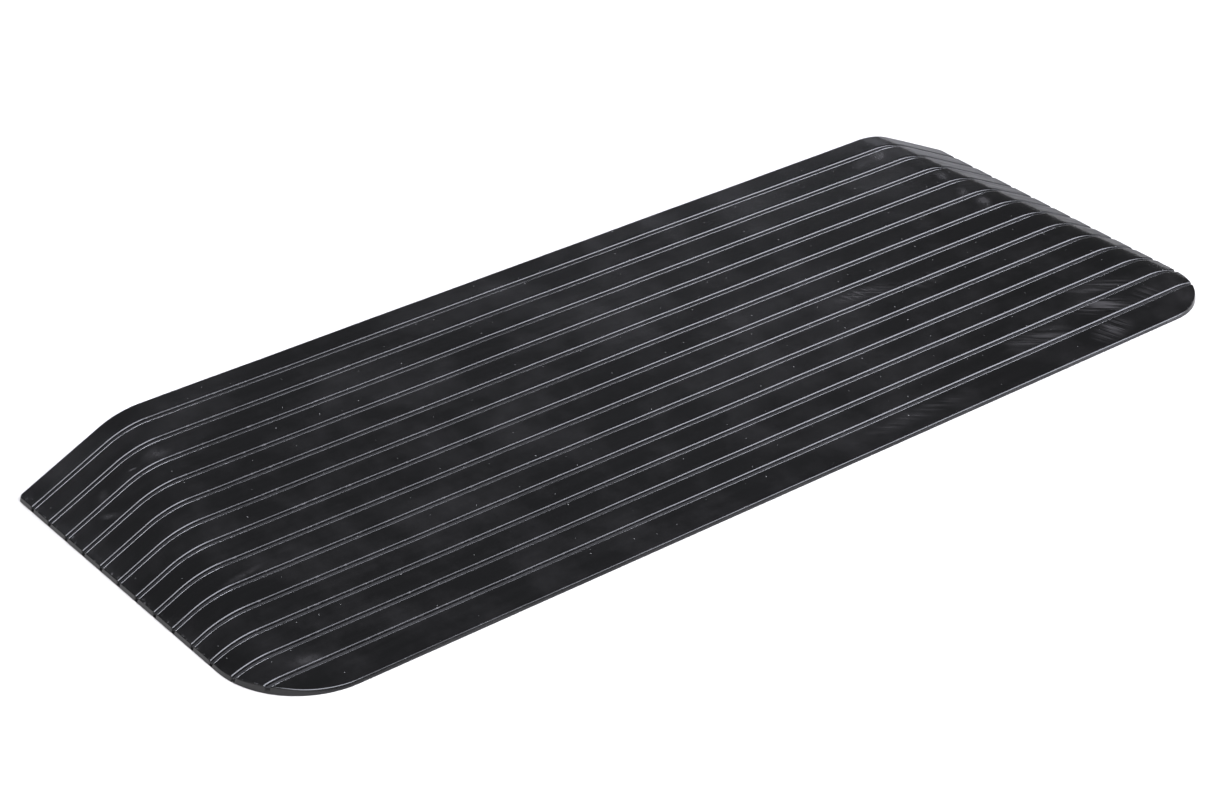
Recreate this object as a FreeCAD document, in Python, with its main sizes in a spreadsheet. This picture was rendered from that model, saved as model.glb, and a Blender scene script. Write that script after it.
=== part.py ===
import FreeCAD, Part
import math
import os

import Sketcher
from FreeCAD import Vector

# Threshold ramp: one rubber moulding with a sloping deck, two side flares and a grooved tread, and six thin
# grip strips bonded under it. Millimetres. The origin is at the middle of the base: +X runs along the
# grooves, +Y points up the slope to the door sill and +Z is up.

DRIVING_SIZES = [
    ("overall_width", 1066.8),
    ("overall_depth", 381.0),
    ("overall_rise", 50.8),
    ("front_lip", 3.6),
    ("side_lip", 3.6),
    ("flare_run", 98.7),
    ("bend_radius", 90.0),
    ("front_left_corner_radius", 78.0),
    ("front_right_corner_radius", 65.0),
    ("back_corner_radius", 5.0),
    ("lip_edge_radius", 1.4),
    ("groove_pitch", 27.0),
    ("groove_width", 3.0),
    ("groove_depth", 2.4),
    ("back_margin", 24.0),
    ("least_front_margin", 30.0),
    ("skin_thickness", 9.0),
    ("front_land", 118.0),
    ("side_land", 45.0),
    ("rib_width", 10.0),
    ("pocket_columns", 12),
    ("pocket_rows", 4),
    ("pocket_corner_radius", 6.0),
    ("strip_width", 18.0),
    ("strip_thickness", 1.5),
    ("strip_corner_radius", 3.0),
    ("strip_clearance", 0.4),
    ("strip_edge_margin", 10.0),
    ("strip_web", 3.6),
    ("strip_end_margin", 60.0),
    ("strip_front_setback", 50.0),
    ("strip_gap", 40.0),
    ("overrun", 60.0),
]

DECK_SLOPE = "(Sizes.overall_rise - Sizes.front_lip) / Sizes.overall_depth"
FLARE_SLOPE = "(Sizes.overall_rise - Sizes.side_lip) / Sizes.flare_run"
GROOVE_COUNT = (
    "(floor((Sizes.overall_depth - Sizes.back_margin - Sizes.least_front_margin) / Sizes.groove_pitch) + 1)"
)
REAR_LAND = "(Sizes.strip_edge_margin + Sizes.strip_width + Sizes.strip_clearance + Sizes.strip_web)"
HALF_WIDTH = "Sizes.overall_width / 2"
HALF_DEPTH = "Sizes.overall_depth / 2"

QUARTER_TURN = math.pi / 2
CHECKED_PLACES = (0.1, 0.5, 0.9)
LEVEL_TOLERANCE = 1e-6
SLANT_RUN = 1.0

doc = FreeCAD.newDocument("threshold_ramp")
sheet = doc.addObject("Spreadsheet::Sheet", "Sizes")
for row, (alias, value) in enumerate(DRIVING_SIZES, start=1):
    sheet.set("A%d" % row, alias)
    sheet.set("B%d" % row, str(value))
    sheet.setAlias("B%d" % row, alias)
doc.recompute()


def new_body(name):
    """Add a body and give it a label of its own."""
    body = doc.addObject("PartDesign::Body", name)
    body.Label = name
    return body


def origin_plane(body, role):
    """Find one of the body's own origin planes by its role."""
    for feature in body.Origin.OriginFeatures:
        if feature.Role == role:
            return feature
    raise ValueError("no plane " + role)


def new_sketch(body, name, role):
    """Add an empty sketch on one of the body's origin planes."""
    sketch = body.newObject("Sketcher::SketchObject", name)
    sketch.AttachmentSupport = [(origin_plane(body, role), "")]
    sketch.MapMode = "FlatFace"
    return sketch


def dimension(sketch, kind, references, name, expression):
    """Add one dimension, name it and tie its value to an expression of the sheet's sizes."""
    value = float(sheet.evalExpression(expression))
    index = sketch.addConstraint(Sketcher.Constraint(kind, *references, value))
    sketch.renameConstraint(index, name)
    sketch.setExpression("Constraints." + name, expression)


def polygon(sketch, corners, name="corner"):
    """Draw a closed polygon. Each corner is a pair of expressions, measured from the sketch's origin."""
    points = []
    for across, up in corners:
        points.append(Vector(float(sheet.evalExpression(across)), float(sheet.evalExpression(up)), 0))
    lines = []
    for index, start in enumerate(points):
        end = points[(index + 1) % len(points)]
        lines.append(sketch.addGeometry(Part.LineSegment(start, end), False))
    for index, line in enumerate(lines):
        following = lines[(index + 1) % len(lines)]
        sketch.addConstraint(Sketcher.Constraint("Coincident", line, 2, following, 1))
    for index, (across, up) in enumerate(corners):
        dimension(sketch, "DistanceX", (-1, 1, lines[index], 1), "%s%d_across" % (name, index), across)
        dimension(sketch, "DistanceY", (-1, 1, lines[index], 1), "%s%d_up" % (name, index), up)


def rounded_rectangle(sketch, left, right, low, high, radii):
    """Draw a rectangle with round corners. The radii go round from low right to low left, anticlockwise."""
    x0, x1, y0, y1 = [float(sheet.evalExpression(text)) for text in (left, right, low, high)]
    low_right, high_right, high_left, low_left = [float(sheet.evalExpression(text)) for text in radii]
    sides = [
        Part.LineSegment(Vector(x0 + low_left, y0, 0), Vector(x1 - low_right, y0, 0)),
        Part.LineSegment(Vector(x1, y0 + low_right, 0), Vector(x1, y1 - high_right, 0)),
        Part.LineSegment(Vector(x1 - high_right, y1, 0), Vector(x0 + high_left, y1, 0)),
        Part.LineSegment(Vector(x0, y1 - high_left, 0), Vector(x0, y0 + low_left, 0)),
    ]
    centres = [
        (x1 - low_right, y0 + low_right, low_right, 3),
        (x1 - high_right, y1 - high_right, high_right, 0),
        (x0 + high_left, y1 - high_left, high_left, 1),
        (x0 + low_left, y0 + low_left, low_left, 2),
    ]
    lines = [sketch.addGeometry(side, False) for side in sides]
    arcs = []
    for x, y, radius, turn in centres:
        circle = Part.Circle(Vector(x, y, 0), Vector(0, 0, 1), radius)
        arc = Part.ArcOfCircle(circle, turn * QUARTER_TURN, (turn + 1) * QUARTER_TURN)
        arcs.append(sketch.addGeometry(arc, False))
    for index in range(4):
        sketch.addConstraint(Sketcher.Constraint("Tangent", lines[index], 2, arcs[index], 1))
        sketch.addConstraint(Sketcher.Constraint("Tangent", arcs[index], 2, lines[(index + 1) % 4], 1))
        direction = "Horizontal" if index % 2 == 0 else "Vertical"
        sketch.addConstraint(Sketcher.Constraint(direction, lines[index]))
    dimension(sketch, "DistanceY", (-1, 1, lines[0], 1), "low_side", low)
    dimension(sketch, "DistanceX", (-1, 1, lines[1], 1), "right_side", right)
    dimension(sketch, "DistanceY", (-1, 1, lines[2], 1), "high_side", high)
    dimension(sketch, "DistanceX", (-1, 1, lines[3], 1), "left_side", left)
    for index, radius in enumerate(radii):
        dimension(sketch, "Radius", (arcs[index],), "corner%d_radius" % index, radius)


def pad(body, sketch, name, length, both_ways=False):
    """Pad a sketch, upward or equally both ways, by a length given as an expression."""
    feature = body.newObject("PartDesign::Pad", name)
    feature.Profile = sketch
    feature.SideType = "Symmetric" if both_ways else "One side"
    feature.setExpression("Length", length)
    return feature


def cut_through(body, sketch, name):
    """Cut a sketch through the whole body, both ways."""
    feature = body.newObject("PartDesign::Pocket", name)
    feature.Profile = sketch
    feature.SideType = "Symmetric"
    feature.Type = "ThroughAll"
    return feature


def repeat_in_plan(body, feature, name, *directions):
    """Repeat a feature towards the low side of one or two axes: each an axis, a count and a spacing."""
    pattern = body.newObject("PartDesign::LinearPattern", name)
    pattern.Originals = [feature]
    for suffix, (role, count, spacing) in zip(("", "2"), directions):
        setattr(pattern, "Direction" + suffix, (origin_plane(body, role), [""]))
        setattr(pattern, "Mode" + suffix, "Extent")
        setattr(pattern, "Reversed" + suffix, True)
        pattern.setExpression("Occurrences" + suffix, count)
        pattern.setExpression("Length" + suffix, "(%s - 1) * (%s)" % (count, spacing))
    body.Tip = pattern
    return pattern


def size(alias):
    """Read one driving size as a plain number."""
    return float(sheet.get(alias))


def is_upright(face):
    """Tell whether a face stands upright all over, as the lip's walls do."""
    low_u, high_u, low_v, high_v = face.ParameterRange
    tilts = [
        abs(face.normalAt(low_u + a * (high_u - low_u), low_v + b * (high_v - low_v)).z)
        for a in CHECKED_PLACES for b in CHECKED_PLACES
    ]
    return max(tilts) < LEVEL_TOLERANCE


def edge_names(shape, wanted):
    """Name the edges of a shape that a test picks."""
    return ["Edge%d" % (index + 1) for index, edge in enumerate(shape.Edges) if wanted(edge)]


def build_section_form():
    """The deck's wedge with both flares planed off and both bends rounded, longer than the ramp all round."""
    body = new_body("section_form")
    side = new_sketch(body, "side_profile", "YZ_Plane")
    polygon(side, [
        ("-%s - Sizes.overrun" % HALF_DEPTH, "-Sizes.overrun"),
        ("%s + Sizes.overrun" % HALF_DEPTH, "-Sizes.overrun"),
        ("%s + Sizes.overrun" % HALF_DEPTH, "Sizes.overall_rise + Sizes.overrun * %s" % DECK_SLOPE),
        ("-%s - Sizes.overrun" % HALF_DEPTH, "Sizes.front_lip - Sizes.overrun * %s" % DECK_SLOPE),
    ])
    pad(body, side, "deck_wedge", "Sizes.overall_width + 2 * Sizes.overrun", both_ways=True)
    above = "Sizes.overall_rise + Sizes.overrun"
    flare = new_sketch(body, "flare_profile", "XZ_Plane")
    polygon(flare, [
        ("%s + 2 * Sizes.overrun" % HALF_WIDTH, "Sizes.side_lip - 2 * Sizes.overrun * %s" % FLARE_SLOPE),
        ("%s + 2 * Sizes.overrun" % HALF_WIDTH, above),
        ("%s - (%s - Sizes.side_lip) / (%s)" % (HALF_WIDTH, above, FLARE_SLOPE), above),
    ])
    right_flare = cut_through(body, flare, "right_flare")
    doc.recompute()
    both_flares = body.newObject("PartDesign::Mirrored", "both_flares")
    both_flares.Originals = [right_flare]
    both_flares.MirrorPlane = (origin_plane(body, "YZ_Plane"), [""])
    body.Tip = both_flares
    doc.recompute()

    def is_bend(edge):
        run = edge.Vertexes[-1].Point - edge.Vertexes[0].Point
        return min(abs(run.x), abs(run.y)) > SLANT_RUN

    bends = body.newObject("PartDesign::Fillet", "bends")
    bends.Base = (both_flares, edge_names(both_flares.Shape, is_bend))
    bends.setExpression("Radius", "Sizes.bend_radius")
    doc.recompute()
    return body


def build_ramp_form(section_form):
    """The section trimmed to the ramp's plan and base, with a rounded edge along its lip."""
    body = new_body("ramp_form")
    body.BaseFeature = section_form
    outside = "2 * Sizes.overrun"
    plan = new_sketch(body, "plan_outline", "XY_Plane")
    polygon(plan, [
        ("-%s - %s" % (HALF_WIDTH, outside), "-%s - %s" % (HALF_DEPTH, outside)),
        ("%s + %s" % (HALF_WIDTH, outside), "-%s - %s" % (HALF_DEPTH, outside)),
        ("%s + %s" % (HALF_WIDTH, outside), "%s + %s" % (HALF_DEPTH, outside)),
        ("-%s - %s" % (HALF_WIDTH, outside), "%s + %s" % (HALF_DEPTH, outside)),
    ], name="frame")
    rounded_rectangle(plan, "-" + HALF_WIDTH, HALF_WIDTH, "-" + HALF_DEPTH, HALF_DEPTH,
                      ("Sizes.front_right_corner_radius", "Sizes.back_corner_radius",
                       "Sizes.back_corner_radius", "Sizes.front_left_corner_radius"))
    cut_through(body, plan, "plan_trim")
    below = new_sketch(body, "base_profile", "XZ_Plane")
    polygon(below, [
        ("-%s - %s" % (HALF_WIDTH, outside), "-%s" % outside),
        ("%s + %s" % (HALF_WIDTH, outside), "-%s" % outside),
        ("%s + %s" % (HALF_WIDTH, outside), "0"),
        ("-%s - %s" % (HALF_WIDTH, outside), "0"),
    ])
    base_trim = cut_through(body, below, "base_trim")
    doc.recompute()

    def is_lip(edge):
        walls = [face for face in base_trim.Shape.ancestorsOfType(edge, Part.Face) if is_upright(face)]
        return len(walls) == 1 and edge.BoundBox.ZMax > size("front_lip") / 2

    lip_edge = body.newObject("PartDesign::Fillet", "lip_edge")
    lip_edge.Base = (base_trim, edge_names(base_trim.Shape, is_lip))
    lip_edge.setExpression("Radius", "Sizes.lip_edge_radius")
    doc.recompute()
    return body


def build_lowered_copy(section_form, name, drop):
    """A copy of the section set lower, so that a cut above it keeps an even depth under deck and flares."""
    copy = doc.addObject("Part::Compound", name)
    copy.Label = name
    copy.Links = [section_form]
    copy.setExpression(".Placement.Base.z", "-(%s)" % drop)
    return copy


def build_groove_cutters(groove_floor):
    """Upright slabs one pitch apart, as many as the deck has room for, each stopped at the grooves' floor."""
    slabs = new_body("groove_slabs")
    slot = new_sketch(slabs, "slot_profile", "YZ_Plane")
    rear_groove = "%s - Sizes.back_margin" % HALF_DEPTH
    top = "Sizes.overall_rise + Sizes.overrun / 2"
    polygon(slot, [
        ("%s - Sizes.groove_width / 2" % rear_groove, "0"),
        ("%s + Sizes.groove_width / 2" % rear_groove, "0"),
        ("%s + Sizes.groove_width / 2" % rear_groove, top),
        ("%s - Sizes.groove_width / 2" % rear_groove, top),
    ])
    slab = pad(slabs, slot, "slab", "Sizes.overall_width + Sizes.overrun", both_ways=True)
    doc.recompute()
    repeat_in_plan(slabs, slab, "slab_row", ("Y_Axis", GROOVE_COUNT, "Sizes.groove_pitch"))
    cutters = doc.addObject("Part::Cut", "groove_cutters")
    cutters.Base = slabs
    cutters.Tool = groove_floor
    return cutters


def build_pocket_cutters(pocket_roof):
    """A grid of upright round-cornered pins, each stopped one skin thickness under the tread."""
    pins = new_body("pocket_pins")
    width = ("(Sizes.overall_width - 2 * Sizes.side_land - (Sizes.pocket_columns - 1) * Sizes.rib_width)"
             " / Sizes.pocket_columns")
    depth = ("(Sizes.overall_depth - Sizes.front_land - %s - (Sizes.pocket_rows - 1) * Sizes.rib_width)"
             " / Sizes.pocket_rows" % REAR_LAND)
    right = "%s - Sizes.side_land" % HALF_WIDTH
    high = "%s - %s" % (HALF_DEPTH, REAR_LAND)
    outline = new_sketch(pins, "pin_outline", "XY_Plane")
    rounded_rectangle(outline, "%s - %s" % (right, width), right, "%s - %s" % (high, depth), high,
                      ("Sizes.pocket_corner_radius",) * 4)
    pin = pad(pins, outline, "pin", "Sizes.overall_rise")
    doc.recompute()
    repeat_in_plan(pins, pin, "pin_grid",
                   ("X_Axis", "Sizes.pocket_columns", "%s + Sizes.rib_width" % width),
                   ("Y_Axis", "Sizes.pocket_rows", "%s + Sizes.rib_width" % depth))
    cutters = doc.addObject("Part::MultiCommon", "pocket_cutters")
    cutters.Shapes = [pins, pocket_roof]
    return cutters


def build_strip(name, centre_x, centre_y, length_x, length_y, growth="0"):
    """A flat round-cornered strip on the base plane, grown all round by a clearance when it is a recess."""
    body = new_body(name)
    outline = new_sketch(body, name + "_outline", "XY_Plane")
    half_x = "(%s) / 2 + %s" % (length_x, growth)
    half_y = "(%s) / 2 + %s" % (length_y, growth)
    radius = "Sizes.strip_corner_radius + %s" % growth
    rounded_rectangle(outline, "%s - (%s)" % (centre_x, half_x), "%s + %s" % (centre_x, half_x),
                      "%s - (%s)" % (centre_y, half_y), "%s + %s" % (centre_y, half_y), (radius,) * 4)
    pad(body, outline, name + "_pad", "Sizes.strip_thickness")
    return body


def build_strips():
    """Six strips on the lands round the pockets, and the recess that each is bonded into."""
    across = "Sizes.strip_width"
    run = "(Sizes.overall_width - 2 * Sizes.strip_end_margin - Sizes.strip_gap) / 2"
    offset = "(%s + Sizes.strip_gap) / 2" % run
    rear_y = "%s - Sizes.strip_edge_margin - Sizes.strip_width / 2" % HALF_DEPTH
    front_y = "-(%s) + Sizes.strip_front_setback + Sizes.strip_width / 2" % HALF_DEPTH
    side_x = "%s - Sizes.strip_edge_margin - Sizes.strip_width / 2" % HALF_WIDTH
    side_run = "Sizes.overall_depth - Sizes.front_land - %s" % REAR_LAND
    side_y = "(Sizes.front_land - %s) / 2" % REAR_LAND
    places = {
        "grip_strip_rear_left": ("-(%s)" % offset, rear_y, run, across),
        "grip_strip_rear_right": (offset, rear_y, run, across),
        "grip_strip_front_left": ("-(%s)" % offset, front_y, run, across),
        "grip_strip_front_right": (offset, front_y, run, across),
        "grip_strip_side_left": ("-(%s)" % side_x, side_y, across, side_run),
        "grip_strip_side_right": (side_x, side_y, across, side_run),
    }
    strips = []
    recesses = []
    for name, place in places.items():
        strips.append(build_strip(name, *place))
        recesses.append(build_strip(name + "_recess", *place, growth="Sizes.strip_clearance"))
    return strips, recesses


section_form = build_section_form()
ramp_form = build_ramp_form(section_form)
groove_floor = build_lowered_copy(section_form, "groove_floor", "Sizes.groove_depth")
pocket_roof = build_lowered_copy(section_form, "pocket_roof", "Sizes.skin_thickness")
groove_cutters = build_groove_cutters(groove_floor)
pocket_cutters = build_pocket_cutters(pocket_roof)
strips, recesses = build_strips()

cutters = doc.addObject("Part::Compound", "all_cutters")
cutters.Links = [groove_cutters, pocket_cutters] + recesses
moulding = doc.addObject("Part::Cut", "ramp_body")
moulding.Label = "ramp_body"
moulding.Base = ramp_form
moulding.Tool = cutters
doc.recompute()

sub_parts = [moulding] + strips
for item in doc.Objects:
    if "Invalid" in item.State or "Error" in item.State:
        raise RuntimeError("%s did not build: %s" % (item.Name, item.State))
for item in sub_parts:
    if item.Shape.isNull() or not item.Shape.isValid() or len(item.Shape.Solids) != 1:
        raise RuntimeError("%s is not one sound solid" % item.Label)

os.makedirs("parts", exist_ok=True)
for item in sub_parts:
    item.Shape.exportStep("parts/%s.step" % item.Label)
    box = item.Shape.BoundBox
    print(item.Label, round(item.Shape.Volume / 1000.0, 2), "cm3", len(item.Shape.Faces), "faces", box)
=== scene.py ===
import math

import bpy
import numpy as np
from mathutils import Matrix, Vector


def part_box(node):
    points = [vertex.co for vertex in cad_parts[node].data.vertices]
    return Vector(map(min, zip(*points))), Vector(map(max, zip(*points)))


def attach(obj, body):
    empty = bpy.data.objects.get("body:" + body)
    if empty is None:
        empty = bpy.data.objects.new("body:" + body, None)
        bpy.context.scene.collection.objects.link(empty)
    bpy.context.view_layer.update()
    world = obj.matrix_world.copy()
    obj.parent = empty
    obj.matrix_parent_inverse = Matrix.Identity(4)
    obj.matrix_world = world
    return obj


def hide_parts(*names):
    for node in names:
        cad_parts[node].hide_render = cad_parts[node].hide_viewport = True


bl_info = {
    "name": "Rubber Threshold Ramp",
    "version": (1, 0, 0),
    "blender": (4, 5, 0),
    "location": "View3D > Sidebar > Ramp",
    "description": (
        "Builds the moulded rubber ramp, its grip strips and a plain studio round the packed frame"),
    "category": "Object",
}

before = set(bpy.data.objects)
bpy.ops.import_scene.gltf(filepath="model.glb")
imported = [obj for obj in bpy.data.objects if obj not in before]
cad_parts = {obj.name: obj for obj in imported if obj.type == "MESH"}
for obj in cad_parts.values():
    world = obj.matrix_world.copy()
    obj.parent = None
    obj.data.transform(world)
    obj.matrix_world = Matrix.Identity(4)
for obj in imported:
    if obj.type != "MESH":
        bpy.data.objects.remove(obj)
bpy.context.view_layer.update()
LOW, HIGH = (np.array(corner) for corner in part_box("ramp_body"))
WIDTH, DEPTH = (HIGH - LOW)[:2]
MM = 0.001
STRIPS = sorted(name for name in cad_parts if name.startswith("grip_strip"))

# small sizes of the tread and its edge, and the most of the lip's height that its rounding may take
GROOVE_WALL_LEAN = 0.02 * MM
SHOULDER_SKIRT = 0.35 * MM
LIP_FOOT = 0.3 * MM
LIP_SHARE = 0.6
WAVE_HEIGHT = 0.18 * MM

# the least room that the flare and the bend keep where the outline's corners cut them short
LEAST_FLARE = 6 * MM
LEAST_BEND = 12 * MM

# the underside: how far its walls lean in, and the room and corner radius of a strip's recess
DRAFT = 0.6 * MM
RECESS_DRAFT = 0.2 * MM
RECESS_GAP = 0.4 * MM
STRIP_CORNER = 3.4 * MM

# the flat rim between the outline and the underside's grid
SIDE_RIM = 8 * MM
FRONT_RIM = 49 * MM
BACK_RIM = 5 * MM

# how far in from a wall the underside's grid has its extra lines
POCKET_LINES = (1.3 * MM, 2.4 * MM, 4 * MM)
RECESS_LINES = (1.2 * MM,)

# how many features of each pattern there are in a metre
CLOUDS_PER_METRE = 16.0
BLOTS_PER_METRE = 90.0
RUBBED_AND_GLINT_SPOTS_PER_METRE = 210.0
GRAINS_PER_METRE = 700.0
DUST_CELLS_PER_METRE = 48.0
FOAM_CELLS_PER_METRE = 900.0

# brushed streaks: turn in degrees, length and width
FILM_STREAKS = (0, 140 * MM, 6 * MM)
SCUFF_STREAKS = (-32, 50 * MM, 3.2 * MM)
CROSSING_STREAKS = (-62, 60 * MM, 4 * MM)

# how strongly the film's streaks show, and how much a dust speck hides and dulls the rubber
STREAK_STRENGTH = 0.008
DUST_COVER = 0.4
DUST_DULLING = 0.5

# a mark fades out at this many times its half size, and dust settles above this much of facing up
MARK_REACH = 1.15
FACING_UP = 0.5

# the studio: half the floor's side, where the bright wall is, and the softboxes, each with its name,
# place, aim, size and power
FLOOR_HALF = 12.0
BRIGHT_WALL = Vector((-0.75, -0.35, 0.55)).normalized()
SOFTBOX_SHADE = "#f0f2ff"
SOFTBOXES = (
    ("left_panel", (-0.4, -0.9, 1.75), (-0.4, -0.05, 0.0), (1.6, 1.8), 112),
    ("middle_panel", (0.9, -1.2, 1.5), (0.0, 0.0, 0.0), (0.6, 2.1), 21),
    ("right_panel", (1.75, -1.3, 1.15), (0.35, 0.0, 0.0), (0.9, 2.3), 85),
    ("far_left_strip", (-0.4, 2.4, 0.6), (-0.5, 0.0, 0.0), (0.7, 1.1), 30),
    ("far_middle_strip", (0.3, 2.25, 0.55), (-0.45, 0.0, 0.0), (0.55, 1.0), 36),
    ("far_centre_strip", (0.95, 2.15, 0.55), (-0.2, 0.0, 0.0), (0.4, 1.1), 8),
    ("far_right_strip", (1.85, 2.0, 0.6), (0.25, 0.0, 0.0), (0.9, 1.1), 32),
)

# marks on the rubber: x, y, half length and half width in millimetres, turn in degrees, strength
FINGER_MARKS_AND_BURR_GLINT = (
    (439, 66, 13, 8, 60, 0.22),
    (446, 43, 13, 9, 55, 0.26),
    (442, 99, 12, 8, 70, 0.16),
    (412, 157, 14, 10, 20, 0.12),
    (386, 153, 16, 8, 10, 0.10),
    (-437, 124, 16, 10, 0, 0.12),
    (-492, 120, 9, 5, 60, 0.10),
    (-500, 97, 11, 4, -50, 0.12),
    (-462, 122, 4, 1.2, -20, 0.5),
    (-477, -151, 17, 10, -20, 0.14),
    (-463, -42, 24, 4, 8, 0.14),
    (503, -162, 34, 14, 70, 0.08),
    # a painted highlight of a burr, where the front groove's left end meets the lip
    (-520, -161, 3, 2, 0, 0.9),
)
SCUFFS = (
    (419, -143, 34, 17, -20, 0.42),
    (440, -118, 52, 10, -15, 0.22),
    (330, -146, 42, 14, -10, 0.24),
    (240, -12, 42, 10, -10, 0.16),
    (150, -172, 90, 9, 0, 0.10),
)
CROSSING_SCUFFS = (
    (399, -173, 30, 15, 10, 0.36),
    (302, -24, 34, 12, 0, 0.20),
    (228, -8, 26, 9, 0, 0.18),
    (470, -150, 24, 14, 0, 0.16),
)


# ---------------------------------------------------------------------------------------------------------
# Sizes and colours that a user would change


class RampShape(bpy.types.PropertyGroup):
    """Sizes of the moulding that its overall box doesn't give."""

    rise: bpy.props.FloatProperty(
        name="Rise", description="Height of the deck at the sill", default=50.8 * MM, unit="LENGTH")
    lip: bpy.props.FloatProperty(
        name="Lip", description="Height of the edge where the tread meets the ground", default=3.6 * MM,
        unit="LENGTH")
    flare_run: bpy.props.FloatProperty(
        name="Flare run", description="Width of each side flare at the sill", default=98.7 * MM,
        unit="LENGTH")
    bend_radius: bpy.props.FloatProperty(
        name="Bend radius", description="Radius of the bend between deck and flare", default=90 * MM,
        unit="LENGTH")
    front_corners: bpy.props.FloatVectorProperty(
        name="Front corners", description="Plan radii of the left and right front corners",
        default=(78 * MM, 65 * MM), size=2, unit="LENGTH")
    back_corner: bpy.props.FloatProperty(
        name="Back corner", description="Plan radius of the back corners", default=5 * MM, unit="LENGTH")
    lip_draft: bpy.props.FloatProperty(
        name="Lip draft", description="How far the lip's wall leans out towards the ground",
        default=math.radians(20), subtype="ANGLE")
    lip_round: bpy.props.FloatProperty(
        name="Lip rounding", description="Radius along the top edge of the lip", default=1.2 * MM,
        unit="LENGTH")
    groove_count: bpy.props.IntProperty(
        name="Grooves", description="Number of grooves across the deck", default=13)
    groove_pitch: bpy.props.FloatProperty(
        name="Groove pitch", description="Distance from groove to groove", default=27 * MM, unit="LENGTH")
    back_margin: bpy.props.FloatProperty(
        name="Back margin", description="From the sill edge to the first groove", default=24 * MM,
        unit="LENGTH")
    groove_half: bpy.props.FloatProperty(
        name="Groove half width", description="Half the distance between a groove's walls", default=1.7 * MM,
        unit="LENGTH")
    groove_depth: bpy.props.FloatProperty(
        name="Groove depth", description="Depth of a groove under the tread", default=2.4 * MM, unit="LENGTH")
    shoulder: bpy.props.FloatProperty(
        name="Shoulder radius", description="Radius of the groove's two top edges", default=1.6 * MM,
        unit="LENGTH")
    skin: bpy.props.FloatProperty(
        name="Skin", description="Rubber left over the pockets of the underside", default=9 * MM,
        unit="LENGTH")
    front_land: bpy.props.FloatProperty(
        name="Front land", description="From the front edge to the first row of pockets", default=118 * MM,
        unit="LENGTH")
    rear_land: bpy.props.FloatProperty(
        name="Rear land", description="From the sill edge to the last row of pockets", default=32 * MM,
        unit="LENGTH")
    side_land: bpy.props.FloatProperty(
        name="Side land", description="From the side edge to the first pocket", default=45 * MM,
        unit="LENGTH")
    rib: bpy.props.FloatProperty(
        name="Rib", description="Thickness of the ribs between pockets", default=10 * MM, unit="LENGTH")
    pocket_corner: bpy.props.FloatProperty(
        name="Pocket corner", description="Corner radius of a pocket", default=6 * MM, unit="LENGTH")
    pocket_grid: bpy.props.IntVectorProperty(
        name="Pockets", description="Pockets across and along the slope", default=(12, 4), size=2)


class RampFinish(bpy.types.PropertyGroup):
    """Colours of the two rubbers, as sRGB hex values."""

    rubber: bpy.props.StringProperty(
        name="Rubber", description="Colour of the moulded rubber", default="#090909")
    bloom: bpy.props.StringProperty(
        name="Bloom", description="Colour of the greyish film that handling leaves on the rubber",
        default="#4b4949")
    dust: bpy.props.StringProperty(
        name="Dust", description="Colour of the dust specks", default="#d6d6d2")
    strip: bpy.props.StringProperty(
        name="Strip", description="Colour of the grip strips", default="#38383b")


class RampStudio(bpy.types.PropertyGroup):
    """The camera and the plain studio."""

    camera_place: bpy.props.FloatVectorProperty(
        name="Camera place", description="Where the camera stands", default=(-1.5006, -1.7336, 1.3837),
        subtype="TRANSLATION", unit="LENGTH")
    heading: bpy.props.FloatProperty(
        name="Heading", description="Turn of the view from +Y towards +X", default=math.radians(39.75),
        subtype="ANGLE")
    dip: bpy.props.FloatProperty(
        name="Dip", description="How far the view looks down", default=math.radians(31.356), subtype="ANGLE")
    roll: bpy.props.FloatProperty(
        name="Roll", description="Turn of the camera about its view", default=math.radians(1.297),
        subtype="ANGLE")
    lens: bpy.props.FloatProperty(name="Lens", description="Focal length in millimetres", default=89.834)
    floor: bpy.props.StringProperty(name="Floor", description="Colour of the floor", default="#b2b0aa")


# ---------------------------------------------------------------------------------------------------------
# Shape of the tread, worked out as whole arrays


def deck_height(shape, y):
    """Height of the deck's plane: it rises evenly from the lip at the front edge to the rise at the sill."""
    return shape.lip + (shape.rise - shape.lip) * (y + DEPTH / 2) / DEPTH


def bend_place(shape, y):
    """The line where deck and flare would meet, and how far the bend reaches over each.

    The flare rises from the lip at the side edge by (rise - lip) over the flare's run, so the two planes
    meet where that equals the deck's height. The bend is an arc that touches both, and reaches R tan(t/2)
    over the deck and R tan(t/2) cos(t) over the flare, where t is the flare's tilt. R is the bend radius
    divided by the squared cosine of the angle that the meeting line makes with the sill's direction.
    """
    flare_slope = (shape.rise - shape.lip) / shape.flare_run
    deck_slope = (shape.rise - shape.lip) / DEPTH
    tilt = math.atan(flare_slope)
    radius = shape.bend_radius * (1 + (deck_slope / flare_slope) ** 2)
    meeting = WIDTH / 2 - (deck_height(shape, y) - shape.lip) / flare_slope
    reach = radius * math.tan(tilt / 2)
    return meeting, radius, reach, reach * math.cos(tilt), flare_slope


def tread_height(shape, x, y):
    """Height of the smooth tread: deck, arc or flare, by how far x lies outside the meeting line."""
    meeting, radius, over_deck, over_flare, flare_slope = bend_place(shape, y)
    deck = deck_height(shape, y)
    beyond = np.abs(x) - meeting
    along = np.clip(beyond + over_deck, 0, over_deck + over_flare)
    arc = deck - radius + np.sqrt(radius**2 - along**2)
    deck_or_arc = np.where(beyond < -over_deck, deck, arc)
    return np.where(beyond > over_flare, deck - flare_slope * beyond, deck_or_arc)


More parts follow.
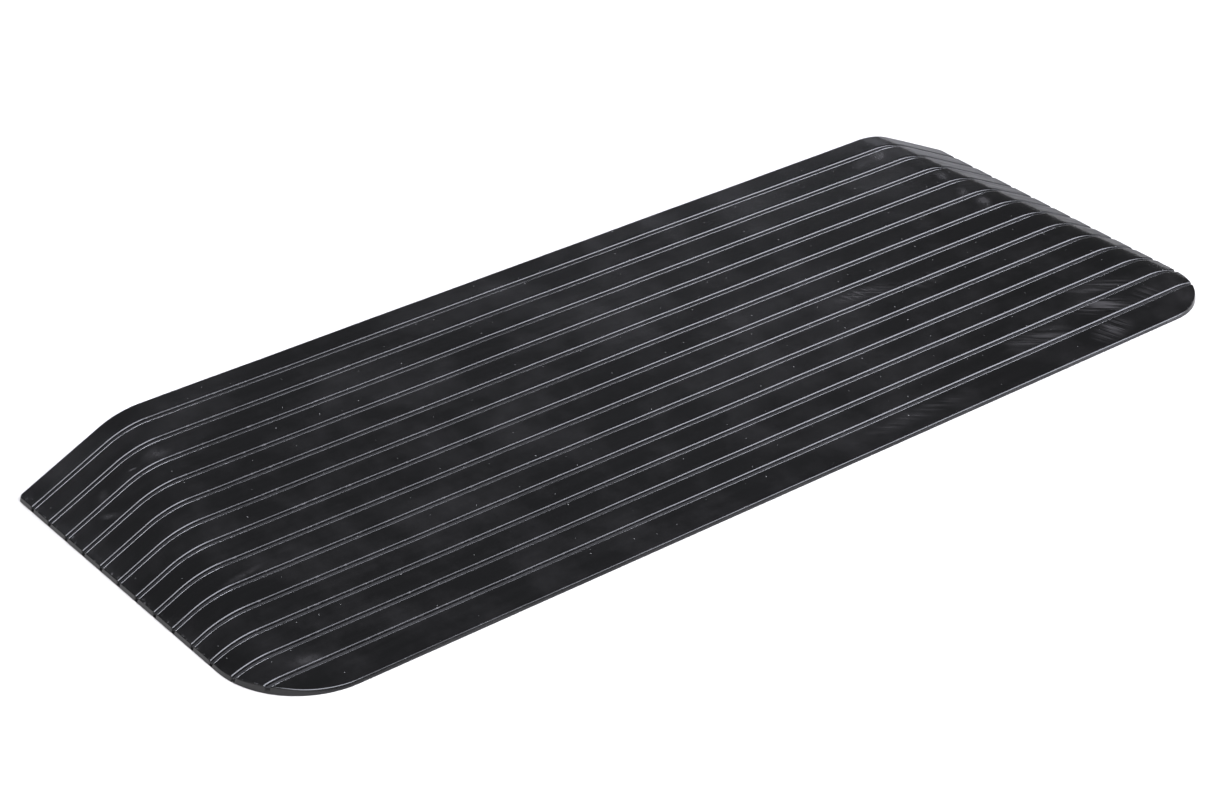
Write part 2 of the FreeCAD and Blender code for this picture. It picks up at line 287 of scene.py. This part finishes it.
def outline_half_width(shape, side, y, inset):
    """Half width of the plan outline at y on one side, moved inwards.

    The outline is a rectangle whose corners are circle arcs. The side is 0 for left and 1 for right.
    """
    front, back = shape.front_corners[side], shape.back_corner
    into_front = np.clip(-DEPTH / 2 + front - y, 0, front - inset)
    into_back = np.clip(y - DEPTH / 2 + back, 0, back - inset)
    at_front = WIDTH / 2 - front + np.sqrt((front - inset) ** 2 - into_front**2)
    at_back = WIDTH / 2 - back + np.sqrt((back - inset) ** 2 - into_back**2)
    return np.minimum(at_front, at_back)


def outward_direction(shape, x, y):
    """Plan direction from the nearest point of the outline's skeleton, a rectangle of the corner centres."""
    left, right = shape.front_corners
    radius = np.where(y > 0, shape.back_corner, np.where(x < 0, left, right))
    across = np.sign(x) * np.maximum(np.abs(x) - (WIDTH / 2 - radius), 0)
    along = np.sign(y) * np.maximum(np.abs(y) - (DEPTH / 2 - radius), 0)
    length = np.hypot(across, along)
    return across / length, along / length


def groove_section(shape, arc_steps=6):
    """Half of a groove's section, from its middle out: flat floor, square corner, wall, rounded shoulder.

    Each row is a distance from the groove's middle, a depth and the weight of pale rubbing with painted
    glints, which peaks halfway round the shoulder. The shoulder is a quarter circle that ends level with
    the tread.
    """
    turn = np.linspace(0, math.pi / 2, arc_steps + 1)
    floor = np.array([[0.0, -shape.groove_depth, 0.0], [shape.groove_half, -shape.groove_depth, 0.0]])
    high = np.stack([shape.groove_half + GROOVE_WALL_LEAN + shape.shoulder * (1 - np.cos(turn)),
                     -shape.shoulder * (1 - np.sin(turn)),
                     np.sin(2 * turn)], axis=1)
    skirt = np.array([[shape.groove_half + shape.shoulder + SHOULDER_SKIRT, 0.0, 0.0]])
    return np.concatenate([floor, high, skirt])


def tread_rows(shape, inset, corner_steps=18, fine_steps=9, plain_steps=4, back_steps=6):
    """The y, the groove depth and the rubbing and painted glint weight of every row of the tread, front to
    back.

    Rows follow the front corner's arc by equal turns, each groove's section, and even steps between
    grooves, which are closer where the outline still curves.
    """
    half = groove_section(shape)
    section = np.concatenate([half[:0:-1] * (-1, 1, 1), half])
    order = np.arange(shape.groove_count)[::-1]
    centres = DEPTH / 2 - shape.back_margin - order * shape.groove_pitch
    grooves = np.tile(section, (shape.groove_count, 1))
    grooves[:, 0] += np.repeat(centres, len(section))
    reach = half[-1, 0]
    fine = np.linspace(reach, shape.groove_pitch - reach, fine_steps + 1)[1:-1]
    plain = np.linspace(reach, shape.groove_pitch - reach, plain_steps + 1)[1:-1]
    front = max(shape.front_corners)
    first_turn = math.acos((front - (centres[0] - reach + DEPTH / 2)) / (front - inset))
    corner_turns = np.linspace(0, first_turn, corner_steps + 1)[:-1]
    front_y = -DEPTH / 2 + front - (front - inset) * np.cos(corner_turns)
    back = shape.back_corner
    back_y = DEPTH / 2 - back + (back - inset) * np.sin(np.linspace(0, math.pi / 2, back_steps + 1))
    behind_y = np.linspace(centres[-1] + reach, DEPTH / 2 - back, plain_steps + 1)[1:-1]
    smooth_y = np.concatenate([
        front_y,
        (centres[:2, None] + fine[None, :]).ravel(),
        (centres[2:-1, None] + plain[None, :]).ravel(),
        behind_y,
        back_y,
    ])
    smooth = np.stack([smooth_y, np.zeros_like(smooth_y), np.zeros_like(smooth_y)], axis=1)
    rows = np.concatenate([grooves, smooth])
    return rows[np.argsort(rows[:, 0], kind="stable")].T


def tread_columns(shape, y, inset, flare_steps=9, bend_steps=16, deck_steps=72):
    """The x of every column of each row: even steps over each flare, each bend and the deck.

    Each half is worked out from its own edge inwards, because the two front corners differ. The left half
    is then turned over to negative x, and the right half is read backwards from the middle out.
    """
    halves = []
    for side in (0, 1):
        edge = outline_half_width(shape, side, y, inset)
        meeting, _, over_deck, over_flare, _ = bend_place(shape, y)
        outer = np.minimum(meeting + over_flare, edge - LEAST_FLARE)
        inner = np.minimum(meeting - over_deck, outer - LEAST_BEND)
        flare = np.linspace(0, 1, flare_steps + 1)[None, :-1]
        bend = np.linspace(0, 1, bend_steps + 1)[None, :-1]
        deck = np.linspace(0, 1, deck_steps // 2 + 1)[None, :]
        edge, outer, inner = edge[:, None], outer[:, None], inner[:, None]
        halves.append(np.concatenate([
            edge + (outer - edge) * flare,
            outer + (inner - outer) * bend,
            inner * (1 - deck),
        ], axis=1))
    left, right = halves
    return np.concatenate([-left, right[:, -2::-1]], axis=1)


def mould_waviness(x, y):
    """Sum of a few long, shallow waves, for cured rubber is never quite flat. It stays within about 1.

    Each wave has a length in metres, how far it shifts sideways over 100 mm of slope, and a phase.
    """
    waves = (
        (0.31, 0.07, 0.4),
        (0.17, -0.11, 1.9),
        (0.093, 0.05, 4.2),
        (0.061, -0.2, 2.7),
        (0.043, 0.03, 5.1),
    )
    phase_per_metre, usual_total = 9.0, 0.6
    total = np.zeros_like(x)
    for length, skew, phase in waves:
        total += length * np.sin(2 * math.pi * (x + skew * y / 0.1) / length + phase + phase_per_metre * y)
    return total / usual_total


def rounded_box_distance(x, y, half_x, half_y, radius):
    """Signed distance to a round-cornered rectangle about the origin, negative inside it."""
    over_x = np.abs(x) - half_x + radius
    over_y = np.abs(y) - half_y + radius
    outside = np.hypot(np.maximum(over_x, 0), np.maximum(over_y, 0))
    return outside + np.minimum(np.maximum(over_x, over_y), 0) - radius


def pocket_layout(shape):
    """Middles of the pocket columns and rows, and half a pocket's size each way."""
    columns, rows = shape.pocket_grid
    size_x = (WIDTH - 2 * shape.side_land - (columns - 1) * shape.rib) / columns
    size_y = (DEPTH - shape.front_land - shape.rear_land - (rows - 1) * shape.rib) / rows
    x = (np.arange(columns) - (columns - 1) / 2) * (size_x + shape.rib)
    y = DEPTH / 2 - shape.rear_land - size_y / 2 - np.arange(rows)[::-1] * (size_y + shape.rib)
    return x, y, size_x / 2, size_y / 2


def underside_height(shape, x, y):
    """Height of the underside: zero on the lands and ribs, the tread less the skin over a pocket, and a
    strip's thickness in its recess. Walls lean by the draft of the mould.
    """
    columns, rows, half_x, half_y = pocket_layout(shape)
    near_x = columns[np.abs(x[..., None] - columns).argmin(axis=-1)]
    near_y = rows[np.abs(y[..., None] - rows).argmin(axis=-1)]
    distance = rounded_box_distance(x - near_x, y - near_y, half_x, half_y, shape.pocket_corner)
    roof = tread_height(shape, x, y) - shape.skin
    height = roof * np.clip(-distance / DRAFT, 0, 1)
    for name in STRIPS:
        low, high = (np.array(corner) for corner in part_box(name))
        middle, half = (low + high)[:2] / 2, (high - low)[:2] / 2 + RECESS_GAP
        distance = rounded_box_distance(x - middle[0], y - middle[1], half[0], half[1], STRIP_CORNER)
        height = np.maximum(height, (high - low)[2] * np.clip(-distance / RECESS_DRAFT, 0, 1))
    return height


def underside_lines(shape):
    """The x and y lines of the underside's grid: close together at every wall and corner."""
    columns, rows, half_x, half_y = pocket_layout(shape)
    wall = np.array([0, DRAFT, *POCKET_LINES, shape.pocket_corner])
    lines_x = [(columns[:, None] + side * (half_x - wall)).ravel() for side in (-1, 1)]
    lines_y = [(rows[:, None] + side * (half_y - wall)).ravel() for side in (-1, 1)]
    edge = np.array([0, RECESS_DRAFT, *RECESS_LINES, STRIP_CORNER])
    for name in STRIPS:
        low, high = (np.array(corner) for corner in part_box(name))
        for side, corner in ((1, low), (-1, high)):
            lines_x.append(corner[0] + side * (edge - RECESS_GAP))
            lines_y.append(corner[1] + side * (edge - RECESS_GAP))
    lines_x.append(np.array([-WIDTH / 2 + SIDE_RIM, WIDTH / 2 - SIDE_RIM]))
    lines_y.append(np.array([-DEPTH / 2 + FRONT_RIM, DEPTH / 2 - BACK_RIM]))
    return [np.unique(np.round(np.concatenate(lines), 6)) for lines in (lines_x, lines_y)]


# ---------------------------------------------------------------------------------------------------------
# Meshes


def grid_faces(rows, columns, first=0):
    """Quads of a grid of vertices, row after row, that face up when rows run along +Y."""
    index = first + np.arange(rows * columns).reshape(rows, columns)
    return np.stack([index[:-1, :-1], index[:-1, 1:], index[1:, 1:], index[1:, :-1]], axis=-1).reshape(-1, 4)


def grid_rim(rows, columns, first=0):
    """Indices round a grid's edge, anticlockwise from above, from its first corner."""
    index = first + np.arange(rows * columns).reshape(rows, columns)
    return np.concatenate([index[0], index[1:, -1], index[-1, -2::-1], index[-2:0:-1, 0]])


def band_faces(loops):
    """Quads between successive closed loops, given as an array of indices, one row per loop."""
    following = np.roll(loops, -1, axis=1)
    return np.stack([loops[:-1], loops[1:], following[1:], following[:-1]], axis=-1).reshape(-1, 4)


def zip_loops(outer, outer_turn, inner, inner_turn):
    """Triangles between two closed loops with different counts, matched by their turn about the middle.

    Both loops are walked together in order of turn. Each step moves one loop on by one vertex, and makes a
    triangle of that vertex pair and the other loop's vertex of the moment.
    """
    def from_start(loop, turn):
        start = turn.argmin()
        return np.roll(loop, -start), np.roll(turn, -start)

    # past every turn, so that both loops close last, the outer one first
    close_outer, close_inner = 10.0, 10.1
    outer, outer_turn = from_start(outer, outer_turn)
    inner, inner_turn = from_start(inner, inner_turn)
    steps = np.concatenate([np.append(outer_turn[1:], close_outer), np.append(inner_turn[1:], close_inner)])
    is_outer = np.argsort(steps, kind="stable") < len(outer)
    at_outer = np.concatenate([[0], np.cumsum(is_outer)])[:-1]
    at_inner = np.concatenate([[0], np.cumsum(~is_outer)])[:-1]
    a, b = outer[at_outer % len(outer)], inner[at_inner % len(inner)]
    ahead = np.where(is_outer, outer[(at_outer + 1) % len(outer)], inner[(at_inner + 1) % len(inner)])
    return np.stack([a, b, ahead], axis=-1)


def add_mesh(name, points, face_groups, material, attributes=None, sharp_degrees=50):
    """Make an object of vertices and groups of faces, smooth but for edges sharper than an angle."""
    mesh = bpy.data.meshes.new(name)
    mesh.from_pydata(points.tolist(), [], [face for group in face_groups for face in group.tolist()])
    mesh.shade_smooth()
    mesh.set_sharp_from_angle(angle=math.radians(sharp_degrees))
    for label, values in (attributes or {}).items():
        layer = mesh.attributes.new(label, "FLOAT", "POINT")
        layer.data.foreach_set("value", np.ascontiguousarray(values, dtype=np.float32))
    mesh.materials.append(material)
    mesh.update()
    piece = bpy.data.objects.new(name, mesh)
    bpy.context.scene.collection.objects.link(piece)
    return piece


def moulding_mesh(shape, arc_rings=6, worn_and_glint_rings=4):
    """Vertices, faces and attributes of the whole moulding as one closed surface.

    The tread is a grid of rows and columns. From its rim a rounded edge and a wall that leans out are
    carried round the outline and down to the ground. The underside is a second grid, joined to them by a
    flat band.
    """
    round_end = math.pi / 2 - shape.lip_draft
    wall = shape.lip - shape.lip_round * (1 - math.cos(round_end)) - LIP_FOOT
    inset = shape.lip_round * math.sin(round_end) + wall * math.tan(shape.lip_draft)
    row_y, row_depth, row_wear_and_glint = tread_rows(shape, inset)
    x = tread_columns(shape, row_y, inset)
    y = np.broadcast_to(row_y[:, None], x.shape)
    rows, columns = x.shape
    smooth = tread_height(shape, x, y)
    z = smooth + row_depth[:, None] + WAVE_HEIGHT * mould_waviness(x, y)
    tread = np.stack([x, y, z], axis=-1).reshape(-1, 3)
    rim = grid_rim(rows, columns)
    rim_points = tread[rim]
    out_x, out_y = outward_direction(shape, rim_points[:, 0], rim_points[:, 1])
    turns = np.linspace(0, round_end, arc_rings + 1)[1:]
    drop = np.minimum(shape.lip_round, LIP_SHARE * rim_points[:, 2])
    rings = [
        (shape.lip_round * math.sin(turn), rim_points[:, 2] - drop * (1 - math.cos(turn))) for turn in turns
    ]
    # the foot, and two rings on the ground that keep its shading from spreading over the underside
    rings.append((inset, np.full(len(rim), LIP_FOOT)))
    rings.append((inset - LIP_FOOT, np.zeros(len(rim))))
    rings.append((inset - 4 * LIP_FOOT, np.zeros(len(rim))))
    ring_points = [
        np.stack([rim_points[:, 0] + out_x * outwards, rim_points[:, 1] + out_y * outwards, height], axis=-1)
        for outwards, height in rings
    ]
    ring_index = len(tread) + np.arange(len(rings) * len(rim)).reshape(len(rings), -1)
    loops = np.concatenate([rim[None], ring_index])
    lines_x, lines_y = underside_lines(shape)
    under_x, under_y = np.meshgrid(lines_x, lines_y)
    under = np.stack([under_x, under_y, underside_height(shape, under_x, under_y)], axis=-1).reshape(-1, 3)
    first_under = ring_index[-1, -1] + 1
    under_faces = grid_faces(*under_x.shape, first=first_under)[:, ::-1]
    under_rim = grid_rim(*under_x.shape, first=first_under)
    points = np.concatenate([tread] + ring_points + [under])
    turn_of = np.arctan2(points[:, 1] * WIDTH / DEPTH, points[:, 0])
    band = zip_loops(ring_index[-1], turn_of[ring_index[-1]], under_rim, turn_of[under_rim])
    faces = [grid_faces(rows, columns), band_faces(loops), band, under_faces]
    # pale rubbing on the groove shoulders, the lip's rounding and the rim, whose spots also paint glints into
    # the highlight lines there
    edge_wear_and_glints = np.zeros(len(points))
    edge_wear_and_glints[:len(tread)] = np.repeat(row_wear_and_glint, columns)
    edge_wear_and_glints[ring_index[:worn_and_glint_rings].ravel()] = 1.0
    edge_wear_and_glints[rim] = 0.6
    in_groove = np.zeros(len(points))
    in_groove[:len(tread)] = np.repeat(-row_depth / shape.groove_depth, columns)
    meeting, _, _, over_flare, _ = bend_place(shape, points[:, 1])
    right_flare = np.clip((points[:, 0] - meeting) / over_flare, 0, 1)
    return points, faces, {"edge_wear_and_glints": edge_wear_and_glints, "in_groove": in_groove, "right_flare": right_flare}


# ---------------------------------------------------------------------------------------------------------
# Materials


def linear(hex_colour):
    """Turn an sRGB hex value into the linear colour that a shader takes."""
    parts = [int(hex_colour[place:place + 2], 16) / 255 for place in (1, 3, 5)]
    return [part / 12.92 if part <= 0.04045 else ((part + 0.055) / 1.055) ** 2.4 for part in parts] + [1.0]


def add_node(tree, kind, inputs=None, **settings):
    """Add a node with its settings. Each input is a value or another node's output socket."""
    node = tree.nodes.new(kind)
    for name, value in settings.items():
        setattr(node, name, value)
    for name, value in (inputs or {}).items():
        if isinstance(value, bpy.types.NodeSocket):
            tree.links.new(value, node.inputs[name])
        else:
            node.inputs[name].default_value = value
    return node


def new_material(name):
    """Start an empty node material and return it with its tree."""
    material = bpy.data.materials.new(name)
    material.use_nodes = True
    material.node_tree.nodes.clear()
    return material, material.node_tree


def add_marks(tree, place, marks):
    """Add up soft oval marks. Each has a middle, half sizes along and across, a turn and a strength."""
    total = 0.0
    for x, y, along, across, turn, strength in marks:
        local = add_node(tree, "ShaderNodeMapping", {
            "Vector": place, "Location": (x * MM, y * MM, 0.0), "Rotation": (0.0, 0.0, math.radians(turn)),
            "Scale": (along * MM, across * MM, 1.0)}, vector_type="TEXTURE")
        radius = add_node(tree, "ShaderNodeVectorMath", {0: local.outputs["Vector"]}, operation="LENGTH")
        mark = add_node(tree, "ShaderNodeMapRange", {
            "Value": radius.outputs["Value"], "From Min": MARK_REACH, "From Max": 0.0, "To Min": 0.0,
            "To Max": strength}, interpolation_type="SMOOTHSTEP")
        total = add_node(tree, "ShaderNodeMath", {0: total, 1: mark.outputs["Result"]},
                         operation="ADD").outputs["Value"]
    return total


def add_streaks(tree, place, turn, length, width):
    """Add fine brushed streaks at a turn: noise drawn out to a length and a width."""
    drawn = add_node(tree, "ShaderNodeMapping", {
        "Vector": place, "Rotation": (0.0, 0.0, math.radians(turn)), "Scale": (length, width, 1.0)},
        vector_type="TEXTURE")
    noise = add_node(tree, "ShaderNodeTexNoise", {
        "Vector": drawn.outputs["Vector"], "Scale": 1.0, "Detail": 3.0, "Roughness": 0.6})
    return add_node(tree, "ShaderNodeMapRange", {
        "Value": noise.outputs["Fac"], "From Min": 0.42, "From Max": 0.68}).outputs["Result"]


def add_dust(tree, place):
    """Scatter round specks over a flat grid of random cells, in more of the cells towards the right end.

    Dust settles only where the rubber faces up.
    """
    facing = add_node(tree, "ShaderNodeSeparateXYZ", {
        "Vector": add_node(tree, "ShaderNodeNewGeometry").outputs["Normal"]})
    settles = add_node(tree, "ShaderNodeMath", {
        0: facing.outputs["Z"], 1: FACING_UP}, operation="GREATER_THAN")
    cells = add_node(tree, "ShaderNodeTexVoronoi", {"Vector": place, "Scale": DUST_CELLS_PER_METRE},
                     voronoi_dimensions="2D")
    chance = add_node(tree, "ShaderNodeSeparateColor", {"Color": cells.outputs["Color"]})
    along = add_node(tree, "ShaderNodeSeparateXYZ", {"Vector": place}).outputs["X"]
    kept_from = add_node(tree, "ShaderNodeMapRange", {
        "Value": along, "From Min": -0.5, "From Max": 0.4, "To Min": 0.85, "To Max": 0.6})
    kept = add_node(tree, "ShaderNodeMath", {
        0: chance.outputs["Red"], 1: kept_from.outputs["Result"]}, operation="GREATER_THAN")
    size = add_node(tree, "ShaderNodeMapRange", {
        "Value": chance.outputs["Green"], "To Min": 0.007, "To Max": 0.017})
    speck = add_node(tree, "ShaderNodeMath", {
        0: cells.outputs["Distance"], 1: size.outputs["Result"]}, operation="LESS_THAN")
    dust = add_node(tree, "ShaderNodeMath", {
        0: speck.outputs["Value"], 1: kept.outputs["Value"]}, operation="MULTIPLY")
    return add_node(tree, "ShaderNodeMath", {
        0: dust.outputs["Value"], 1: settles.outputs["Value"]}, operation="MULTIPLY").outputs["Value"]


def moulded_rubber(finish):
    """Compression-moulded black rubber: smooth and slightly glossy, with bloom, finger smudges and dust.

    The bloom is a faint cloudy film, drawn out a little along the grooves. Fingers left soft ovals on it,
    handling left brushed scuffs near the front right corner, and the edges of the grooves and of the lip
    are rubbed pale in spots, which also paint glints into the highlight lines there. A strong pale spot at
    the left end of the front groove is a painted highlight of a burr. All of them lighten the black and
    make it less glossy.
    """
    material, tree = new_material("black_rubber_compression_moulded")
    place = add_node(tree, "ShaderNodeTexCoord").outputs["Object"]

    # the faint film that dulls the black in clouds
    cloud = add_node(tree, "ShaderNodeTexNoise", {
        "Vector": place, "Scale": CLOUDS_PER_METRE, "Detail": 6.0, "Roughness": 0.65})
    film = add_node(tree, "ShaderNodeMapRange", {
        "Value": cloud.outputs["Fac"], "From Min": 0.44, "From Max": 0.78, "To Min": 0.0, "To Max": 0.06})
    drawn = add_streaks(tree, place, *FILM_STREAKS)

    # the skin's fine pattern, which breaks up the finger marks
    blot = add_node(tree, "ShaderNodeTexNoise", {
        "Vector": place, "Scale": BLOTS_PER_METRE, "Detail": 4.0, "Roughness": 0.7})
    blot = add_node(tree, "ShaderNodeMapRange", {
        "Value": blot.outputs["Fac"], "From Min": 0.35, "From Max": 0.65, "To Min": 0.15, "To Max": 1.0})

    # pale spots along the edges: rubbed wear, and painted glints in the highlight lines of the groove
    # shoulders and the lip
    edge = add_node(tree, "ShaderNodeAttribute", attribute_name="edge_wear_and_glints").outputs["Fac"]
    spots = add_node(tree, "ShaderNodeTexNoise", {
        "Vector": place, "Scale": RUBBED_AND_GLINT_SPOTS_PER_METRE, "Detail": 3.0, "Roughness": 0.7})
    spots = add_node(tree, "ShaderNodeMapRange", {
        "Value": spots.outputs["Fac"], "From Min": 0.56, "From Max": 0.72, "To Min": 0.0, "To Max": 0.35})

    # every mark is a pattern times a mask, laid over the film
    marks = film.outputs["Result"]
    for pattern, mask in (
        (drawn, STREAK_STRENGTH),
        (add_marks(tree, place, FINGER_MARKS_AND_BURR_GLINT), blot.outputs["Result"]),
        (add_marks(tree, place, SCUFFS), add_streaks(tree, place, *SCUFF_STREAKS)),
        (add_marks(tree, place, CROSSING_SCUFFS), add_streaks(tree, place, *CROSSING_STREAKS)),
        (edge, spots.outputs["Result"]),
    ):
        marks = add_node(tree, "ShaderNodeMath", {0: pattern, 1: mask, 2: marks},
                         operation="MULTIPLY_ADD").outputs["Value"]
    dust = add_dust(tree, place)
    bloomed = add_node(tree, "ShaderNodeMix", {
        "Factor": marks, "A": linear(finish.rubber), "B": linear(finish.bloom)}, data_type="RGBA")
    dust_cover = add_node(tree, "ShaderNodeMath", {0: dust, 1: DUST_COVER}, operation="MULTIPLY")
    colour = add_node(tree, "ShaderNodeMix", {
        "Factor": dust_cover.outputs["Value"], "A": bloomed.outputs["Result"], "B": linear(finish.dust)},
        data_type="RGBA")

    # marks and dust are less glossy than the bare rubber
    dulled = add_node(tree, "ShaderNodeMath", {
        0: dust, 1: DUST_DULLING, 2: marks}, operation="MULTIPLY_ADD")
    gloss = add_node(tree, "ShaderNodeMapRange", {
        "Value": dulled.outputs["Value"], "From Min": 0.0, "From Max": 0.25, "To Min": 0.18, "To Max": 0.42})

    # the right flare has been rubbed dull along its length
    flare = add_node(tree, "ShaderNodeAttribute", attribute_name="right_flare").outputs["Fac"]
    rubbed = add_node(tree, "ShaderNodeMapRange", {
        "Value": flare, "From Min": 0.1, "From Max": 1.0, "To Min": 0.0, "To Max": 0.36})
    streaked = add_node(tree, "ShaderNodeMath", {0: drawn, 1: 0.5, 2: 0.7}, operation="MULTIPLY_ADD")
    rough_tread = add_node(tree, "ShaderNodeMath", {
        0: rubbed.outputs["Result"], 1: streaked.outputs["Value"], 2: gloss.outputs["Result"]},
        operation="MULTIPLY_ADD")

    # grit and film settle in the grooves, so that they never shine
    groove = add_node(tree, "ShaderNodeAttribute", attribute_name="in_groove").outputs["Fac"]
    settled = add_node(tree, "ShaderNodeMapRange", {
        "Value": groove, "From Min": 0.6, "From Max": 1.0, "To Min": 0.0, "To Max": 0.4})
    roughness = add_node(tree, "ShaderNodeMath", {
        0: rough_tread.outputs["Value"], 1: settled.outputs["Result"]}, operation="ADD")

    # the grain of the mould's surface
    grain = add_node(tree, "ShaderNodeTexNoise", {"Vector": place, "Scale": GRAINS_PER_METRE, "Detail": 2.0})
    bump = add_node(tree, "ShaderNodeBump", {
        "Height": grain.outputs["Fac"], "Strength": 0.08, "Distance": 0.1 * MM})
    shader = add_node(tree, "ShaderNodeBsdfPrincipled", {
        "Base Color": colour.outputs["Result"], "Roughness": roughness.outputs["Value"], "IOR": 1.5,
        "Normal": bump.outputs["Normal"]})
    add_node(tree, "ShaderNodeOutputMaterial", {"Surface": shader.outputs["BSDF"]})
    return material


def strip_rubber(finish):
    """Closed-cell rubber strip: matt and dark grey, with the fine pitted skin of a cut foam sheet."""
    material, tree = new_material("grey_closed_cell_rubber_cut_sheet")
    place = add_node(tree, "ShaderNodeTexCoord").outputs["Object"]
    cells = add_node(tree, "ShaderNodeTexVoronoi", {"Vector": place, "Scale": FOAM_CELLS_PER_METRE})
    bump = add_node(tree, "ShaderNodeBump", {
        "Height": cells.outputs["Distance"], "Strength": 0.4, "Distance": 0.2 * MM})
    shader = add_node(tree, "ShaderNodeBsdfPrincipled", {
        "Base Color": linear(finish.strip), "Roughness": 0.85, "IOR": 1.5, "Normal": bump.outputs["Normal"]})
    add_node(tree, "ShaderNodeOutputMaterial", {"Surface": shader.outputs["BSDF"]})
    return material


def floor_paint(studio):
    """Matt paint of a plain studio floor, pale under the softboxes."""
    material, tree = new_material("studio_floor_matt_paint")
    shader = add_node(tree, "ShaderNodeBsdfPrincipled", {
        "Base Color": linear(studio.floor), "Roughness": 0.9})
    add_node(tree, "ShaderNodeOutputMaterial", {"Surface": shader.outputs["BSDF"]})
    return material


# ---------------------------------------------------------------------------------------------------------
# Operators


class RAMP_OT_moulding(bpy.types.Operator):
    """Build the one-piece rubber moulding: deck, flares, grooves, lip and ribbed underside"""

    bl_idname = "ramp.moulding"
    bl_label = "Ramp moulding"

    def execute(self, context):
        shape, finish = context.scene.ramp_shape, context.scene.ramp_finish
        points, faces, attributes = moulding_mesh(shape)
        piece = add_mesh("ramp_moulding", points, faces, moulded_rubber(finish), attributes)
        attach(piece, "root")
        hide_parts("ramp_body")
        return {"FINISHED"}


class RAMP_OT_grip_strips(bpy.types.Operator):
    """Give the grip strips under the ramp their rubber"""

    bl_idname = "ramp.grip_strips"
    bl_label = "Grip strips"

    def execute(self, context):
        material = strip_rubber(context.scene.ramp_finish)
        for name in STRIPS:
            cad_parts[name].data.materials.clear()
            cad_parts[name].data.materials.append(material)
        return {"FINISHED"}


def add_softbox(name, place, aim, size, power):
    """Add a rectangular area light at a place, turned to face a point."""
    light = bpy.data.lights.new(name, "AREA")
    light.shape = "RECTANGLE"
    light.size, light.size_y = size
    light.energy = power
    light.color = linear(SOFTBOX_SHADE)[:3]
    lamp = bpy.data.objects.new(name, light)
    lamp.location = place
    lamp.rotation_euler = (Vector(aim) - Vector(place)).to_track_quat("-Z", "Y").to_euler()
    bpy.context.scene.collection.objects.link(lamp)


def studio_walls(scene):
    """One bright wall on the left and dim walls elsewhere, so that the rubber reads dark."""
    world = bpy.data.worlds.new("studio_walls")
    world.use_nodes = True
    tree = world.node_tree
    tree.nodes.clear()
    direction = add_node(tree, "ShaderNodeTexCoord").outputs["Generated"]
    nearness = add_node(tree, "ShaderNodeVectorMath", {0: direction, 1: BRIGHT_WALL}, operation="DOT_PRODUCT")
    level = add_node(tree, "ShaderNodeMapRange", {
        "Value": nearness.outputs["Value"], "From Min": 0.3, "From Max": 0.8, "To Min": 0.065, "To Max": 0.5},
        interpolation_type="SMOOTHSTEP")
    shader = add_node(tree, "ShaderNodeBackground", {"Strength": level.outputs["Result"]})
    shader.inputs["Color"].default_value = linear("#ffffff")
    add_node(tree, "ShaderNodeOutputWorld", {"Surface": shader.outputs["Background"]})
    scene.world = world


class RAMP_OT_studio(bpy.types.Operator):
    """Add the plain floor, the softboxes and the camera"""

    bl_idname = "ramp.studio"
    bl_label = "Studio"

    def execute(self, context):
        scene, studio = context.scene, context.scene.ramp_studio
        points = FLOOR_HALF * np.array([[-1, -1, 0], [1, -1, 0], [1, 1, 0], [-1, 1, 0]])
        floor = add_mesh("studio_floor", points, [np.array([[0, 1, 2, 3]])], floor_paint(studio))
        for name, place, aim, size, power in SOFTBOXES:
            add_softbox(name, place, aim, size, power)
        studio_walls(scene)
        camera = bpy.data.cameras.new("view")
        camera.lens = studio.lens
        camera.sensor_width = 36.0
        camera.clip_start, camera.clip_end = 0.05, 50.0
        holder = bpy.data.objects.new("view", camera)
        turn = (Matrix.Rotation(-studio.heading, 4, "Z") @ Matrix.Rotation(math.pi / 2 - studio.dip, 4, "X")
                @ Matrix.Rotation(studio.roll, 4, "Z"))
        holder.matrix_world = Matrix.Translation(studio.camera_place) @ turn
        scene.collection.objects.link(holder)
        scene.camera = holder
        scene.view_settings.view_transform = "Standard"
        return {"FINISHED"}


class RAMP_PT_panel(bpy.types.Panel):
    """List the ramp's builders in the sidebar"""

    bl_idname = "RAMP_PT_panel"
    bl_label = "Rubber ramp"
    bl_space_type = "VIEW_3D"
    bl_region_type = "UI"
    bl_category = "Ramp"

    def draw(self, context):
        for step in STEPS:
            self.layout.operator(step.bl_idname)


STEPS = (RAMP_OT_moulding, RAMP_OT_grip_strips, RAMP_OT_studio)
GROUPS = {"ramp_shape": RampShape, "ramp_finish": RampFinish, "ramp_studio": RampStudio}


def register():
    """Register the classes and hang the settings on the scene."""
    for kind in (*GROUPS.values(), *STEPS, RAMP_PT_panel):
        bpy.utils.register_class(kind)
    for name, kind in GROUPS.items():
        setattr(bpy.types.Scene, name, bpy.props.PointerProperty(type=kind))


def unregister():
    """Take the settings and the classes away again."""
    for name in GROUPS:
        delattr(bpy.types.Scene, name)
    for kind in reversed((*GROUPS.values(), *STEPS, RAMP_PT_panel)):
        bpy.utils.unregister_class(kind)


def main():
    """Build every piece."""
    register()
    bpy.ops.ramp.moulding()
    bpy.ops.ramp.grip_strips()
    bpy.ops.ramp.studio()


if __name__ == "__main__":
    main()
